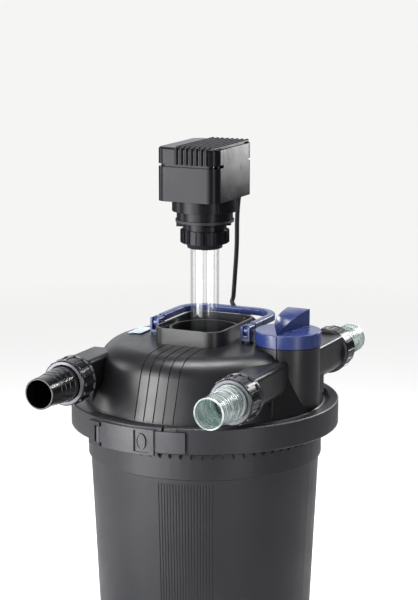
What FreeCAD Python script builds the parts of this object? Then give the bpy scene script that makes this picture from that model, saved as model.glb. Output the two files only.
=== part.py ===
import FreeCAD, Part
import math
import os

# Pressurized pond filter, millimetres, +Z up.
# Origin: centre of the tank's base, on the floor. -Y is the front, where the inlet and
# the drain point; +X is the side with the selector knob.
# The UVC head is drawn lifted above its socket, the way it is held for a lamp change.

# Tank, lid flange and clamp ring
ring_top = 440.0
ring_height = 36.4
ring_radius = 190.0
ring_bottom = ring_top - ring_height
ring_channel_radius = 186.2
ring_lip = 3.6
ring_top_lip_radius = 177.5
ring_bottom_lip_radius = 169.5
flange_radius = 184.0
flange_gap = 0.5
parting_height = 421.0
wall = 4.0
collar_radius = 166.0
gusset_count = 72
collar_bottom = ring_top - 79.5
tank_top_radius = 162.7
tank_base_radius = 146.0
base_edge = 4.0
rib_pitch = 4.0
rib_groove = 1.5
rib_depth = 0.9
rib_panel_angles = (-87.5, -59.5)

# Lid
lid_foot_radius = 168.0
lid_waist_radius = 148.6
lid_waist_height = ring_top + 57.8
shoulder_radius = 118.0
shoulder_height = ring_top + 82.4
crown_height = ring_top + 86.0
crown_radius = 70.0
groove_count = 5
groove_pitch = 14.5
groove_width = 1.6
groove_depth = 1.4
groove_first_x = -27.4

# Socket on the lid for the UVC head
socket_half_x = 51.7
socket_half_y = 67.9
socket_corner = 21.8
socket_wall = 3.0
socket_top = ring_top + 107.2
socket_floor = ring_top + 90.0
socket_bore = 46.9
socket_lip_top = ring_top + 99.5
well_bore = 43.5
well_shoulder = ring_top + 81.0
well_bottom = ring_top + 22.0
well_mouth = 27.0

# UV chamber and filter pack
chamber_radius = 30.0
chamber_bore = 27.0
chamber_bottom = 40.0
foam_count = 4
foam_height = 84.6
foam_pitch = 85.0
foam_bottom = 33.2
foam_radius = 137.0
foam_hole = 36.0
rod_x = 70.5
rod_y = -9.0
rod_radius = 4.5
lower_plate_bottom = 22.0
plate_thickness = 6.0
upper_plate_bottom = 374.0

# Pipes, union nuts and hose tails
pipe_x = 125.0
pipe_z = ring_top + 45.0
pipe_bore = 22.5
duct_half = 21.2
duct_corner = 6.3
duct_low_corner = 15.0
duct_bore = 18.4
duct_top = 26.2
duct_bottom = -24.0
duct_end = 148.5
outlet_half = 26.4
outlet_corner = 4.2
web_half = 25.6
web_end = 81.0
thread_radius = 28.0
pipe_end = 166.0
nut_start = 153.0
nut_end = 187.0
nut_radius = 31.0
nut_back_radius = 33.2
nut_rim_radius = 31.4
nut_mouth = 26.0
nut_ridges = 16
tail_end = 254.0
tail_mouth_radius = 21.5
tail_bore = 19.6
tail_flange_radius = 27.6
tail_mouth_length = 18.0
tail_root_radius = 24.8
tail_first_ring = 190.0
tail_ring_pitch = 4.8
tail_first_groove = 205.0
tail_plain_lip = 4.0
groove_land = 1.6
feed_elbow_y = -88.0
feed_radius = 24.0
feed_bore = 20.5

# Selector turret and knob
turret_x = 128.0
turret_radius = 44.6
turret_bore = 38.0
turret_top = ring_top + 87.0
rotor_radius = 37.6
rotor_bottom = ring_top + 10.0
knob_radius = 46.1
knob_bottom = ring_top + 88.0
knob_top = ring_top + 106.9

# Cleaning handle
hinge_z = ring_top + 102.0
arm_inner = 66.0
arm_outer = 76.5
bar_front = 94.5
bar_back = 107.0
bar_top = ring_top + 111.0
bar_depth = 9.6
bend_outer = 42.0
bend_inner = 31.0
clevis_half = 7.0
handle_pin_radius = 2.5

# UVC head, lifted
head_lift = 185.0
head_bottom = ring_top + 100.0 + head_lift
head_half_x = 46.5
head_half_y = 62.0
head_corner = 15.0
head_wall = 3.0
head_rim = head_bottom + 48.0
cover_bottom = head_bottom + 52.0
cover_top = head_bottom + 75.0
collar_step_radius = 46.0
collar_step_bottom = head_bottom - 18.5
neck_step_radius = 39.5
neck_step_bottom = head_bottom - 35.0
clamp_nut_radius = 34.6
clamp_nut_top = head_bottom - 45.0
clamp_nut_bottom = head_bottom - 64.0
sleeve_radius = 20.0
sleeve_glass = 1.5
sleeve_top = head_bottom - 31.5
sleeve_bottom = head_bottom - 312.0
gland_x = 21.0
gland_z = head_bottom + 17.0
cord_radius = 3.3

# Latch on the clamp ring, angles in degrees around the tank, -90 is the front
split_front = -82.0
split_rear = 98.0
split_gap = 1.0
lever_pin_angle = -112.8
lever_pin_radius = 193.5
lever_inner = 190.8
lever_outer = 196.0
lever_start = -110.7
lever_end = -85.3
lever_bottom = ring_bottom - 2.0
lever_top = ring_top - 3.2
ear_height = 5.0
strap_end = -72.6
button_angle = -91.0
button_wide = 7.4
button_tall = 11.0
rear_pin_radius = 197.0


def vec(x, y, z):
    return FreeCAD.Vector(x, y, z)


def disc(radius, bottom, top, x=0.0, y=0.0):
    return Part.makeCylinder(radius, top - bottom, vec(x, y, bottom))


def ring(outer, inner, bottom, top, x=0.0, y=0.0):
    return disc(outer, bottom, top, x, y).cut(disc(inner, bottom - 1.0, top + 1.0, x, y))


def y_rod(radius, start, end, x, z):
    return Part.makeCylinder(radius, end - start, vec(x, start, z), vec(0, 1, 0))


def x_rod(radius, start, end, y, z):
    return Part.makeCylinder(radius, end - start, vec(start, y, z), vec(1, 0, 0))


def block(x0, x1, y0, y1, z0, z1):
    return Part.makeBox(x1 - x0, y1 - y0, z1 - z0, vec(x0, y0, z0))


def outline_face(points):
    """A face in the XZ plane. Each point is (r, z), or (r, z, r_mid, z_mid) where the
    stretch that arrives at it is an arc through the middle point."""
    edges = []
    last = points[-1]
    for point in points:
        start = vec(last[0], 0, last[1])
        end = vec(point[0], 0, point[1])
        if len(point) == 4:
            edges.append(Part.Arc(start, vec(point[2], 0, point[3]), end).toShape())
        else:
            edges.append(Part.makeLine(start, end))
        last = point
    return Part.Face(Part.Wire(edges))


def turned(points, degrees=360.0, first=0.0):
    """Solid of revolution around Z, from angle first, through degrees."""
    face = outline_face(points)
    face.rotate(vec(0, 0, 0), vec(0, 0, 1), first)
    return face.revolve(vec(0, 0, 0), vec(0, 0, 1), degrees)


def turned_along_y(points, x, z, direction):
    """Solid of revolution around a pipe axis. Points are (radius, distance along the
    pipe); direction is +1 for a pipe that points to +Y and -1 for -Y."""
    solid = turned(points)
    solid.rotate(vec(0, 0, 0), vec(1, 0, 0), -90.0 * direction)
    solid.translate(vec(x, 0, z))
    return solid


def rounded_slab(half_x, half_y, corner, bottom, top):
    slab = block(-half_x, half_x, -half_y, half_y, bottom, top)
    upright = [edge for edge in slab.Edges if abs(edge.tangentAt(edge.FirstParameter).z) > 0.9]
    return slab.makeFillet(corner, upright)


def sector(inner, outer, bottom, top, start, end):
    """A piece of a ring between two angles."""
    points = [(inner, bottom), (outer, bottom), (outer, top), (inner, top)]
    return turned(points, end - start, start)


def extruded(points, depth, axis):
    """A flat outline of points pushed along axis by depth."""
    corners = [vec(*point) for point in points]
    face = Part.Face(Part.makePolygon(corners + [corners[0]]))
    return face.extrude(vec(*axis) * depth)


def polar(radius, angle):
    turn = math.radians(angle)
    return radius * math.cos(turn), radius * math.sin(turn)


def fuse_all(shapes):
    return shapes[0].multiFuse(shapes[1:]).removeSplitter()


def group(shapes):
    return Part.makeCompound(shapes)


def softened(shape, radius, choose):
    """Round the edges that choose(edge) picks."""
    return shape.makeFillet(radius, [edge for edge in shape.Edges if choose(edge)])


def at_height(z):
    """Chooses the edges that lie flat at height z."""
    def choose(edge):
        box = edge.BoundBox
        return abs(box.ZMin - z) < 0.01 and abs(box.ZMax - z) < 0.01
    return choose


def upright_at(y):
    """Chooses the upright edges that stand at y."""
    def choose(edge):
        box = edge.BoundBox
        return box.ZLength > 1.0 and abs(box.YMin - y) < 0.01 and abs(box.YMax - y) < 0.01
    return choose


def along_y_at(z):
    """Chooses the straight edges that run along Y at height z."""
    def choose(edge):
        box = edge.BoundBox
        flat = abs(box.ZMin - z) < 0.01 and abs(box.ZMax - z) < 0.01
        return flat and box.YLength > 1.0 and box.XLength < 0.01
    return choose


def save(name, shape):
    shape.exportStep(os.path.join("parts", name + ".step"))


def tank_wall_radius(z):
    share = (z - base_edge) / (collar_bottom - base_edge)
    return tank_base_radius + share * (tank_top_radius - tank_base_radius)


# ---- Tank and clamp ring -----------------------------------------------------------

def tank_shell():
    flange_bottom = ring_bottom + ring_lip + flange_gap
    flange_top = parting_height - 0.2
    seal_groove = 3.0
    return turned([
        (0, 0),
        (tank_base_radius - base_edge, 0),
        (tank_base_radius, base_edge),
        (tank_top_radius, collar_bottom),
        (collar_radius, collar_bottom + 1.5),
        (collar_radius, flange_bottom),
        (flange_radius, flange_bottom),
        (flange_radius, flange_top),
        (178.0, flange_top),
        (178.0, flange_top - seal_groove),
        (172.0, flange_top - seal_groove),
        (172.0, flange_top),
        (tank_top_radius - wall, flange_top),
        (tank_top_radius - wall, collar_bottom),
        (tank_base_radius - wall, base_edge + wall),
        (0, base_edge + wall),
    ])


def tank():
    shell = tank_shell()
    first, last = rib_panel_angles
    middle = 0.5 * (tank_base_radius + tank_top_radius)
    step = math.degrees(rib_pitch / middle)
    count = int((last - first) / step) + 1
    lean = math.degrees(math.atan2(tank_top_radius - tank_base_radius, collar_bottom - base_edge))
    rib_bottom = 14.0
    rib_length = collar_bottom - 6.0 - rib_bottom
    grooves = []
    for panel in (0.0, 180.0):
        for index in range(count):
            groove = block(-rib_groove / 2, rib_groove / 2, -8.0, rib_depth, 0, rib_length)
            groove.rotate(vec(0, 0, 0), vec(1, 0, 0), lean)
            groove.translate(vec(0, -tank_wall_radius(rib_bottom), rib_bottom))
            groove.rotate(vec(0, 0, 0), vec(0, 0, 1), first + 90.0 + panel + index * step)
            grooves.append(groove)
    return fuse_all([shell] + collar_gussets()).cut(grooves)


def collar_gussets():
    """Short upright ribs on the collar, just under the clamp ring."""
    top = ring_bottom - 0.8
    outline = [
        (collar_radius - 1.5, 0, top),
        (collar_radius + 9.0, 0, top),
        (collar_radius + 9.0, 0, top - 5.0),
        (collar_radius, 0, top - 12.0),
        (collar_radius - 1.5, 0, top - 12.0),
    ]
    ribs = []
    for index in range(gusset_count):
        rib = extruded(outline, 2.0, (0, 1, 0))
        rib.rotate(vec(0, 0, 0), vec(0, 0, 1), index * 360.0 / gusset_count + 3.4)
        ribs.append(rib)
    return ribs


def tank_seal():
    return ring(177.8, 172.2, parting_height - 3.1, parting_height + 0.1)


def ring_half(start, end):
    top = ring_top
    round_edge = 2.0
    middle = round_edge * (1.0 - math.sqrt(0.5))
    half = turned([
        (ring_bottom_lip_radius, ring_bottom),
        (ring_radius - round_edge, ring_bottom),
        (ring_radius, ring_bottom + round_edge, ring_radius - middle, ring_bottom + middle),
        (ring_radius, top - round_edge),
        (ring_radius - round_edge, top, ring_radius - middle, top - middle),
        (ring_top_lip_radius, top),
        (ring_top_lip_radius, top - ring_lip),
        (ring_channel_radius, top - ring_lip),
        (ring_channel_radius, ring_bottom + ring_lip),
        (ring_bottom_lip_radius, ring_bottom + ring_lip),
    ], end - start, start)
    return half


def knuckle(bottom, top):
    """A hinge eye at the rear of the clamp ring."""
    x, y = polar(rear_pin_radius, split_rear)
    return disc(7.0, bottom, top, x, y)


def knuckle_hole():
    x, y = polar(rear_pin_radius, split_rear)
    return disc(3.15, ring_bottom, ring_top, x, y)


def clamp_ring_left():
    start = split_rear + split_gap * 0.5
    end = split_front + 360.0 - split_gap * 0.5
    pin_x, pin_y = polar(lever_pin_radius, lever_pin_angle)
    block_inner = ring_channel_radius + 1.0
    block_top = lever_top - 2.0
    pieces = [ring_half(start, end)]
    pieces.append(sector(block_inner, 197.0, lever_bottom, block_top, -118.8, -114.7))
    for bottom in (lever_bottom, block_top - ear_height):
        pieces.append(sector(block_inner, 197.2, bottom, bottom + ear_height, -115.0, -111.6))
    for bottom in (ring_bottom + 2.0, ring_top - 11.5):
        pieces.append(knuckle(bottom, bottom + 9.5))
        pieces.append(sector(ring_channel_radius + 0.5, 199.0, bottom, bottom + 9.5, 99.2, 102.4))
    barrel_room = disc(5.2, lever_bottom + ear_height, block_top - ear_height, pin_x, pin_y)
    pin_hole = disc(2.05, lever_bottom - 1.0, lever_top, pin_x, pin_y)
    inside = sector(150.0, ring_channel_radius, ring_bottom + ring_lip, ring_top - ring_lip, 90.0, 110.0)
    joint_room = sector(150.0, 188.5, ring_bottom - 1.0, ring_top + 1.0, 90.0, start)
    return fuse_all(pieces).cut([barrel_room, pin_hole, knuckle_hole(), inside, joint_room])


def clamp_ring_right():
    start = split_front + split_gap * 0.5
    end = split_rear - split_gap * 0.5
    eye = knuckle(ring_bottom + 12.0, ring_top - 12.0)
    web = sector(ring_channel_radius + 0.5, 199.0, ring_bottom + 12.0, ring_top - 12.0, 93.6, 96.8)
    recess = sector(188.4, 200.0, ring_bottom + 1.0, ring_top - 0.8, -76.2, -71.2)
    catch = sector(187.4, 200.0, ring_bottom + 7.0, ring_top - 8.0, -76.0, -72.0)
    joint_room = sector(150.0, 188.5, ring_bottom - 1.0, ring_top + 1.0, end, 106.0)
    return fuse_all([ring_half(start, end), eye, web]).cut([recess, catch, knuckle_hole(), joint_room])


def ring_hinge_pin():
    x, y = polar(rear_pin_radius, split_rear)
    shank = disc(3.0, ring_bottom, ring_top, x, y)
    head = disc(5.0, ring_top - 1.6, ring_top + 1.0, x, y)
    foot = disc(4.2, ring_bottom - 0.6, ring_bottom + 1.6, x, y)
    return fuse_all([shank, head, foot])


def latch_lever():
    strap_low = lever_bottom + 4.4
    strap_high = lever_top - 1.8
    pin_x, pin_y = polar(lever_pin_radius, lever_pin_angle)
    barrel_low = lever_bottom + ear_height + 0.4
    barrel_high = lever_top - 2.4 - ear_height
    barrel = disc(4.4, barrel_low, barrel_high, pin_x, pin_y)
    neck = sector(lever_inner, lever_outer, barrel_low, barrel_high, -112.2, -110.0)
    plate = sector(lever_inner, lever_outer, lever_bottom, lever_top, lever_start, lever_end)
    strap = sector(lever_inner, 193.2, strap_low, strap_high, lever_end - 0.2, strap_end)
    tooth = sector(188.2, 193.2, strap_low + 6.0, strap_high - 6.0, strap_end - 1.0, strap_end)
    window = sector(193.4, 200.0, lever_bottom + 3.0, lever_top - 2.3, -94.1, -87.8)
    pin_hole = disc(2.1, lever_bottom, lever_top, pin_x, pin_y)
    solid = fuse_all([barrel, neck, plate, strap, tooth])
    return solid.cut([window, button_shape(191.0, 6.0, 0.4), pin_hole])


def latch_pin():
    x, y = polar(lever_pin_radius, lever_pin_angle)
    return disc(1.95, lever_bottom + 0.4, lever_top - 2.4, x, y)


def button_shape(inner, depth, extra):
    """An upright oval slab that faces outwards, larger by extra all round."""
    middle = 0.5 * (lever_bottom + lever_top)
    oval = Part.Ellipse(vec(0, 0, 0), button_tall + extra, button_wide + extra).toShape()
    slab = Part.Face(Part.Wire([oval])).extrude(vec(0, 0, depth))
    slab.rotate(vec(0, 0, 0), vec(0, 1, 0), 90.0)
    slab.translate(vec(inner, 0, middle))
    slab.rotate(vec(0, 0, 0), vec(0, 0, 1), button_angle)
    return slab


def latch_button():
    cap = button_shape(192.6, 2.8, 0.0)
    dish = button_shape(194.2, 4.0, -1.6)
    return cap.cut(dish)


# ---- Lid ---------------------------------------------------------------------------

def lid_shell():
    flange_top = ring_top - ring_lip - flange_gap
    flange_bottom = parting_height + 0.2
    return turned([
        (lid_foot_radius - wall - 3.0, flange_bottom),
        (flange_radius, flange_bottom),
        (flange_radius, flange_top),
        (172.0, flange_top),
        (lid_foot_radius, ring_top, 169.2, flange_top + 1.2),
        (lid_waist_radius, lid_waist_height),
        (shoulder_radius, shoulder_height, 136.9, shoulder_height - 7.8),
        (crown_radius, crown_height - 1.0, 94.1, shoulder_height + 2.0),
        (0, crown_height),
        (0, crown_height - wall),
        (crown_radius, crown_height - wall - 1.0),
        (shoulder_radius - 1.5, shoulder_height - wall, 93.5, shoulder_height - wall + 2.0),
        (lid_waist_radius - wall, lid_waist_height - 1.5, 133.8, shoulder_height - 10.6),
        (lid_foot_radius - wall - 3.0, ring_top - 8.0),
    ])


def dome_height(radius):
    """Height of the lid's upper surface near the socket."""
    share = radius / shoulder_radius
    return crown_height - (crown_height - shoulder_height) * share ** 4


def well_body():
    """The stepped cup under the socket that the UVC head plugs into."""
    outer = [
        disc(socket_bore + 3.6, well_shoulder - 3.0, socket_lip_top),
        disc(well_bore + 3.5, well_bottom, well_shoulder),
        disc(chamber_radius + 3.5, well_bottom - 14.0, well_bottom),
    ]
    return outer


def well_cuts():
    return [
        disc(socket_bore, well_shoulder, socket_top + 1),
        disc(well_bore, well_bottom + 4.0, socket_top),
        disc(well_mouth, well_bottom - 1.0, socket_top),
        disc(chamber_radius + 0.15, well_bottom - 15.0, well_bottom),
    ]


def pipe_arm(x, direction, inner_end, half, corner):
    """A pipe of the lid: a duct with a flat top and sides, then the round threaded end."""
    duct = block(-half, half, inner_end, duct_end, duct_bottom, duct_top)
    duct = softened(duct, duct_low_corner, along_y_at(duct_bottom))
    duct = softened(duct, corner, along_y_at(duct_top))
    thread = y_rod(thread_radius, duct_end - 2.0, pipe_end, 0, 0)
    arm = fuse_all([duct, thread])
    if direction < 0:
        arm.rotate(vec(0, 0, 0), vec(0, 0, 1), 180.0)
    arm.translate(vec(x, 0, pipe_z))
    return arm


def pipe_thread_cuts(x, direction):
    """Shallow turns cut in the threaded end, seen between nut and pipe."""
    cuts = []
    for index in range(5):
        start = nut_start - 4.0 + index * 3.4
        groove = y_rod(thread_radius + 1, start, start + 1.3, 0, 0)
        groove = groove.cut(y_rod(thread_radius - 1.0, start - 1, start + 2.5, 0, 0))
        if direction < 0:
            groove.rotate(vec(0, 0, 0), vec(0, 0, 1), 180.0)
        groove.translate(vec(x, 0, pipe_z))
        cuts.append(groove)
    return cuts


def feed_duct(radius, stop):
    """The duct inside the lid from the inlet pipe to the UV well, which it meets at the
    distance stop from the well's axis."""
    run = math.hypot(pipe_x, feed_elbow_y)
    heading = vec(pipe_x, -feed_elbow_y, 0)
    return Part.makeCylinder(radius, run - stop, vec(-pipe_x, feed_elbow_y, pipe_z), heading)


def turret_body():
    tower = disc(turret_radius, ring_top + 1.0, turret_top, turret_x, 0)
    rim = disc(turret_radius + 0.8, turret_top - 3.0, turret_top, turret_x, 0)
    front = -turret_radius
    index_rib = block(turret_x - 2.0, turret_x + 2.0, front - 2.2, front + 3.0, turret_top - 14.0, turret_top)
    return [tower, rim, index_rib]


def lid_rib(angle, outer, top):
    """A thin upright rib on the lid's wall."""
    rib = block(140.0, outer, -1.1, 1.1, ring_top - 6.0, top)
    rib.rotate(vec(0, 0, 0), vec(0, 0, 1), angle)
    return rib


def outlet_web():
    """The wall that carries the outlet pipe down to the lid's flange."""
    web = block(pipe_x - web_half, pipe_x + web_half, 20.0, web_end, ring_top - 4.0, pipe_z)
    return softened(web, 3.0, upright_at(web_end))


def rod_boss(side):
    return disc(9.0, ring_top + 66.0, dome_height(rod_x) + 1.6, side * rod_x, rod_y)


def rod_cuts(side):
    bore = disc(rod_radius + 0.3, ring_top + 60.0, socket_top, side * rod_x, rod_y)
    groove = disc(7.2, ring_top + 71.0, ring_top + 74.6, side * rod_x, rod_y)
    return [bore, groove]


def lid_grooves():
    """Thin lines that run up the lid's front and over the shoulder, deeper than the
    skin by groove_depth only: each is cut by a blade that follows the lid's outline."""
    blades = []
    inner = [
        (lid_foot_radius - groove_depth, ring_top - 2.0),
        (lid_waist_radius - groove_depth, lid_waist_height),
        (shoulder_radius, shoulder_height - groove_depth, 135.9, shoulder_height - 8.8),
        (crown_radius - 5.0, crown_height - 1.0 - groove_depth, 94.1, shoulder_height + 2.0 - groove_depth),
        (crown_radius - 5.0, shoulder_height + 20.0),
        (lid_foot_radius + 12.0, shoulder_height + 20.0),
        (lid_foot_radius + 12.0, ring_top - 2.0),
    ]
    skin = turned(inner, 60.0, -120.0)
    for index in range(groove_count):
        x = groove_first_x + index * groove_pitch
        half = groove_width / 2
        blade = block(x - half, x + half, -190.0, -socket_half_y, ring_top - 0.5, shoulder_height + 12.0)
        blades.append(blade.common(skin))
    return blades


def lid():
    rim = rounded_slab(socket_half_x, socket_half_y, socket_corner, ring_top + 78.0, socket_top)
    solids = [lid_shell().cut(lid_grooves()), rim] + well_body() + turret_body()
    solids.append(pipe_arm(-pipe_x, -1, -feed_elbow_y - 20.0, duct_half, duct_corner))
    solids.append(pipe_arm(pipe_x, -1, 20.0, duct_half, duct_corner))
    solids.append(pipe_arm(pipe_x, 1, 20.0, outlet_half, outlet_corner))
    solids += [feed_duct(feed_radius, well_bore), rod_boss(-1), rod_boss(1)]
    solids.append(lid_rib(-134.8, 167.5, pipe_z - 15.0))
    solids.append(lid_rib(-31.6, 168.0, pipe_z - 5.0))
    solids.append(outlet_web())
    solid = fuse_all(solids)
    pocket = rounded_slab(socket_half_x - socket_wall, socket_half_y - socket_wall,
                          socket_corner - socket_wall, socket_floor, socket_top + 1.0)
    pocket = pocket.cut(ring(socket_bore + 3.6, socket_bore, socket_floor - 1, socket_lip_top))
    cuts = [pocket] + well_cuts()
    cuts.append(disc(turret_bore, ring_top + 6.0, turret_top + 1.0, turret_x, 0))
    cuts.append(disc(26.0, ring_top - 5.0, turret_top, turret_x, 0))
    cuts.append(y_rod(duct_bore, -pipe_end - 1, feed_elbow_y + 12.0, -pipe_x, pipe_z))
    cuts.append(y_rod(pipe_bore, -pipe_end - 1, -duct_end + 2.0, -pipe_x, pipe_z))
    cuts.append(feed_duct(feed_bore, well_bore - 8.0))
    cuts.append(y_rod(duct_bore, -pipe_end - 1, 0.0, pipe_x, pipe_z))
    cuts.append(y_rod(pipe_bore, -pipe_end - 1, -duct_end + 2.0, pipe_x, pipe_z))
    cuts.append(y_rod(pipe_bore, 0.0, pipe_end + 1, pipe_x, pipe_z))
    for side in (-1, 1):
        cuts += rod_cuts(side)
    cuts += pipe_thread_cuts(-pipe_x, -1) + pipe_thread_cuts(pipe_x, -1) + pipe_thread_cuts(pipe_x, 1)
    return solid.cut(cuts)


def lid_label():
    """The blank plate stuck on the lid beside the socket."""
    start = dome_height(98.0)
    plate = rounded_slab(11.5, 21.0, 2.0, 0.0, 0.6)
    lean = math.degrees(math.atan2(dome_height(88.0) - dome_height(110.0), 22.0))
    plate.rotate(vec(0, 0, 0), vec(0, 1, 0), -lean)
    plate.translate(vec(-101.0, -1.0, start + 1.0))
    return plate


def rod_seals():
    seals = []
    for side in (-1, 1):
        seals.append(Part.makeTorus(rod_radius + 1.5, 1.1, vec(side * rod_x, rod_y, ring_top + 72.8)))
    return group(seals)


# ---- Hose connections --------------------------------------------------------------

def union_nut(x, direction):
    """A ribbed nut that holds a hose tail's flange against the pipe end."""
    body = turned([
        (thread_radius + 0.4, nut_start),
        (nut_back_radius - 1.0, nut_start),
        (nut_back_radius, nut_start + 1.0),
        (nut_back_radius, nut_start + 3.4),
        (nut_radius, nut_start + 4.2),
        (nut_radius, nut_end - 6.0),
        (nut_rim_radius, nut_end - 5.0),
        (nut_rim_radius, nut_end - 1.5),
        (nut_rim_radius - 1.5, nut_end),
        (nut_mouth, nut_end),
        (nut_mouth, nut_end - 14.8),
        (thread_radius + 0.4, nut_end - 14.8),
    ])
    ridges = []
    for index in range(nut_ridges):
        ridge = block(nut_radius - 1.0, nut_radius + 1.8, -1.8, 1.8, nut_start + 3.0, nut_end - 5.5)
        ridge.rotate(vec(0, 0, 0), vec(0, 0, 1), index * 360.0 / nut_ridges)
        ridges.append(ridge)
    nut = fuse_all([body] + ridges)
    nut.rotate(vec(0, 0, 0), vec(1, 0, 0), -90.0 * direction)
    nut.translate(vec(x, 0, pipe_z))
    return nut


def tail_gasket(x, direction):
    inner = pipe_bore + 0.4
    outer = tail_flange_radius - 0.2
    near = pipe_end + 0.1
    far = pipe_end + 2.1
    points = [(inner, near), (outer, near), (outer, far), (inner, far)]
    return turned_along_y(points, x, pipe_z, direction)


def tail_outline(bands):
    """Outline of a hose tail: the flange that the nut holds, the bands on the cone and
    the straight mouth that the hose slips over."""
    flange = pipe_end + 2.2
    mouth_start = tail_end - tail_mouth_length
    points = [
        (tail_bore, flange),
        (tail_flange_radius, flange),
        (tail_flange_radius, flange + 3.6),
        (tail_root_radius, flange + 3.6),
    ]
    points += bands
    points += [
        (tail_mouth_radius, mouth_start),
        (tail_mouth_radius, tail_end - 0.8),
        (tail_mouth_radius - 0.8, tail_end),
        (tail_bore, tail_end),
    ]
    return points


def smooth_tail(x, direction):
    """A black hose tail: a cone with a few fine steps."""
    steps = []
    radius = tail_root_radius
    for start in (196.0, 208.0, 219.0, 229.0):
        steps.append((radius - 0.35, start))
        radius -= 0.8
        steps.append((radius, start + 0.5))
    return turned_along_y(tail_outline(steps), x, pipe_z, direction)


def ringed_tail(x, direction):
    """A clear hose tail with fine rings along its outside and inside."""
    mouth_start = tail_end - tail_mouth_length
    rings = []
    count = int((mouth_start - 2.0 - tail_first_ring) / tail_ring_pitch)
    slope = (tail_root_radius - tail_mouth_radius) / (mouth_start - tail_first_ring)
    for index in range(count):
        start = tail_first_ring + index * tail_ring_pitch
        radius = tail_root_radius - slope * (start - tail_first_ring)
        rings += [
            (radius, start),
            (radius - 0.8, start + 0.5),
            (radius - 0.8, start + 1.8),
            (radius - 0.1, start + 2.3),
        ]
    tail = turned_along_y(tail_outline(rings), x, pipe_z, direction)
    grooves = []
    for index in range(int((tail_end - tail_plain_lip - tail_first_groove) / tail_ring_pitch)):
        start = tail_first_groove + index * tail_ring_pitch
        groove = y_rod(tail_bore + 0.6, start, start + groove_land, 0, 0)
        if direction < 0:
            groove.rotate(vec(0, 0, 0), vec(0, 0, 1), 180.0)
        groove.translate(vec(x, 0, pipe_z))
        grooves.append(groove)
    return tail.cut(grooves)


# ---- Selector ----------------------------------------------------------------------

def fin_section(y, left, right):
    """A four-sided slice of the grip; left and right are the (x, z) of its top corners."""
    bottom = knob_top - 1.0
    corners = [
        vec(left[0], y, bottom),
        vec(left[0], y, left[1]),
        vec(right[0], y, right[1]),
        vec(right[0], y, bottom),
    ]
    return Part.makePolygon(corners + [corners[0]])


def selector_knob():
    centre = turret_x
    cap = disc(knob_radius, knob_bottom, knob_top, centre, 0)
    cap = softened(cap, 1.2, at_height(knob_top))
    hollow = disc(knob_radius - 2.6, knob_bottom - 1, knob_top - 4.0, centre, 0)
    hub = disc(9.0, knob_bottom + 1.0, knob_top - 3.0, centre, 0)
    hub_hole = disc(2.2, knob_bottom - 2, knob_top - 6.0, centre, 0)
    front = -knob_radius
    pointer = block(centre - 2.2, centre + 2.2, front - 1.6, front + 4.0, knob_bottom, knob_top - 0.8)
    sections = []
    for y, half, left_top, right_top in (
        (-45.0, 1.8, 18.0, 2.0),
        (-30.0, 4.6, 22.5, 8.0),
        (-12.0, 7.8, 24.6, 14.2),
        (8.0, 11.2, 25.0, 19.4),
        (26.0, 14.4, 24.6, 22.6),
        (38.0, 16.6, 24.0, 23.6),
    ):
        left = (centre - half, knob_top + left_top)
        right = (centre + half, knob_top + right_top)
        sections.append(fin_section(y, left, right))
    grip = Part.makeLoft(sections, True, True)
    return fuse_all([cap.cut(hollow), hub, pointer, grip]).cut(hub_hole)


def valve_rotor():
    body = disc(rotor_radius, rotor_bottom, turret_top - 4.0, turret_x, 0)
    shaft = disc(8.0, turret_top - 5.0, knob_bottom + 0.8, turret_x, 0)
    inside = disc(31.0, rotor_bottom + 4.0, turret_top - 12.0, turret_x, 0)
    entry = disc(25.0, rotor_bottom - 1.0, rotor_bottom + 5.0, turret_x, 0)
    port = y_rod(pipe_bore, 0.0, 60.0, turret_x, pipe_z)
    screw_hole = disc(2.3, turret_top - 13.0, knob_bottom + 2, turret_x, 0)
    head_seat = disc(4.6, turret_top - 13.0, turret_top - 8.6, turret_x, 0)
    grooves = []
    for z in (rotor_bottom + 3.0, turret_top - 9.0):
        grooves.append(ring(rotor_radius + 1, rotor_radius - 2.2, z, z + 3.2, turret_x, 0))
    return fuse_all([body, shaft]).cut([inside, entry, port, screw_hole, head_seat] + grooves)


def rotor_seals():
    seals = []
    for z in (rotor_bottom + 3.0, turret_top - 9.0):
        seals.append(Part.makeTorus(36.6, 1.15, vec(turret_x, 0, z + 1.6)))
    return group(seals)


def knob_screw():
    head = disc(4.2, turret_top - 12.0, turret_top - 8.8, turret_x, 0)
    shank = disc(1.9, turret_top - 9.0, knob_top - 7.0, turret_x, 0)
    return fuse_all([head, shank])


# ---- Filter pack and cleaning linkage ----------------------------------------------

def uv_chamber():
    tube = ring(chamber_radius, chamber_bore, chamber_bottom, well_bottom - 0.2)
    slots = []
    for index in range(8):
        slot = block(0, 40, -6.0, 6.0, chamber_bottom + 6.0, chamber_bottom + 46.0)
        slot.rotate(vec(0, 0, 0), vec(0, 0, 1), index * 45.0 + 22.5)
        slots.append(slot)
    return tube.cut(slots)


def perforated_plate(radius, bottom, hub_hole, rod_hole):
    plate = ring(radius, hub_hole, bottom, bottom + plate_thickness)
    cuts = []
    for side in (-1, 1):
        cuts.append(disc(rod_hole, bottom - 1, bottom + plate_thickness + 1, side * rod_x, rod_y))
    for row_radius, count in ((50.0, 12), (92.0, 22), (116.0, 28)):
        for index in range(count):
            x, y = polar(row_radius, (index + 0.5) * 360.0 / count)
            cuts.append(disc(7.0, bottom - 1, bottom + plate_thickness + 1, x, y))
    return plate.cut(cuts)


def upper_press_plate():
    return perforated_plate(148.0, upper_plate_bottom, chamber_radius + 0.2, rod_radius + 0.6)


def lower_press_plate():
    return perforated_plate(foam_radius, lower_plate_bottom, chamber_radius + 1.5, rod_radius + 0.1)


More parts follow.
